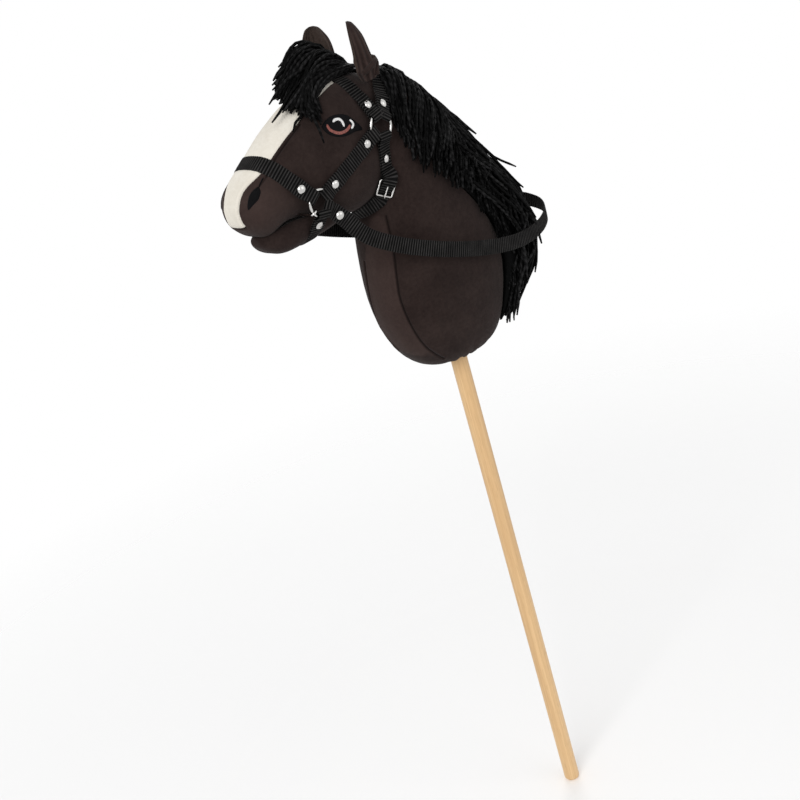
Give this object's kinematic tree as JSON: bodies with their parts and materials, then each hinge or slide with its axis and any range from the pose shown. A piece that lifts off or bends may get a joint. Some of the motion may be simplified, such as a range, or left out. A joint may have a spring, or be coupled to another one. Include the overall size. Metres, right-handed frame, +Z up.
{
  "type": "hobby horse",
  "caption": "Toy horse's head on a stick: stuffed cloth head and neck, yarn mane, webbing bridle with rivets, rings, bit, buckle and rein, on a round wooden stick.",
  "frame": {"origin": "middle of the stick's bottom face", "axes": "+Z up along the stick, -X the way the horse faces, -Y its left side"},
  "size_m": [0.4187, 0.1318, 1.0433],
  "materials": {
    "brown_cloth": "dark brown short-napped knit",
    "white_cloth": "cream short plush",
    "black_thread": "satin-stitched embroidery",
    "black_yarn": "loose twisted yarn",
    "black_webbing": "ribbed webbing",
    "bright_nickel": "polished",
    "pale_wood": "bare, sanded",
    "black_plastic": "matt"
  },
  "bodies": {
    "horse": {"stick": "pale_wood", "stick_cap": "black_plastic", "neck_tie": "black_plastic", "neck_body": "brown_cloth", "head_body": "brown_cloth", "lower_jaw": "brown_cloth", "ear_left": "brown_cloth", "ear_right": "brown_cloth", "blaze_panel": "white_cloth", "eye_left": "black_thread", "eye_right": "black_thread", "nostril_left": "black_thread", "nostril_right": "black_thread", "mane": "black_yarn", "forelock": "black_yarn", "bit": "bright_nickel", "buckle_frame": "bright_nickel", "noseband": "black_webbing", "chin_strap": "black_webbing", "browband": "black_webbing", "crownpiece": "black_webbing", "cheekpiece_left": "black_webbing", "cheekpiece_right": "black_webbing", "throat_strap_left": "black_webbing", "throat_strap_right": "black_webbing", "rivet_browband_left": "bright_nickel", "rivet_browband_right": "bright_nickel", "rivet_cheek_lower_left": "bright_nickel", "rivet_cheek_lower_right": "bright_nickel", "rivet_cheek_upper_left": "bright_nickel", "rivet_cheek_upper_right": "bright_nickel", "rivet_chin_strap_left": "bright_nickel", "rivet_chin_strap_right": "bright_nickel", "rivet_crownpiece_left": "bright_nickel", "rivet_crownpiece_right": "bright_nickel", "rivet_noseband_left": "bright_nickel", "rivet_noseband_right": "bright_nickel", "rivet_throat_left": "bright_nickel", "rivet_throat_right": "bright_nickel"},
    "ring_lower_left": {"ring_lower_left": "bright_nickel"},
    "ring_lower_right": {"ring_lower_right": "bright_nickel"},
    "ring_upper_left": {"ring_upper_left": "bright_nickel"},
    "ring_upper_right": {"ring_upper_right": "bright_nickel"},
    "rein": {"rein": "black_webbing", "rivet_rein_left": "bright_nickel", "rivet_rein_right": "bright_nickel"},
    "buckle_tongue": {"buckle_tongue": "bright_nickel"}
  },
  "joints": [
    {"name": "ring_lower_left_spin", "type": "hinge", "parent": "horse", "child": "ring_lower_left", "pos_m": [-0.158, -0.04282, 0.889], "axis": [0, 1, 0], "continuous": true},
    {"name": "ring_lower_right_spin", "type": "hinge", "parent": "horse", "child": "ring_lower_right", "pos_m": [-0.158, 0.04282, 0.889], "axis": [0, 1, 0], "continuous": true},
    {"name": "ring_upper_left_spin", "type": "hinge", "parent": "horse", "child": "ring_upper_left", "pos_m": [-0.06, -0.04845, 0.936], "axis": [0, 1, 0], "continuous": true},
    {"name": "ring_upper_right_spin", "type": "hinge", "parent": "horse", "child": "ring_upper_right", "pos_m": [-0.06, 0.04845, 0.936], "axis": [0, 1, 0], "continuous": true},
    {"name": "rein_swing", "type": "hinge", "parent": "horse", "child": "rein", "pos_m": [-0.158, 0, 0.889], "axis": [0, -1, 0], "range_deg": [0, 12]},
    {"name": "buckle_tongue_lift", "type": "hinge", "parent": "horse", "child": "buckle_tongue", "pos_m": [-0.06251, -0.04165, 0.87636], "axis": [-0.8435, 0.0014, 0.5372], "range_deg": [0, 12]}
  ]
}
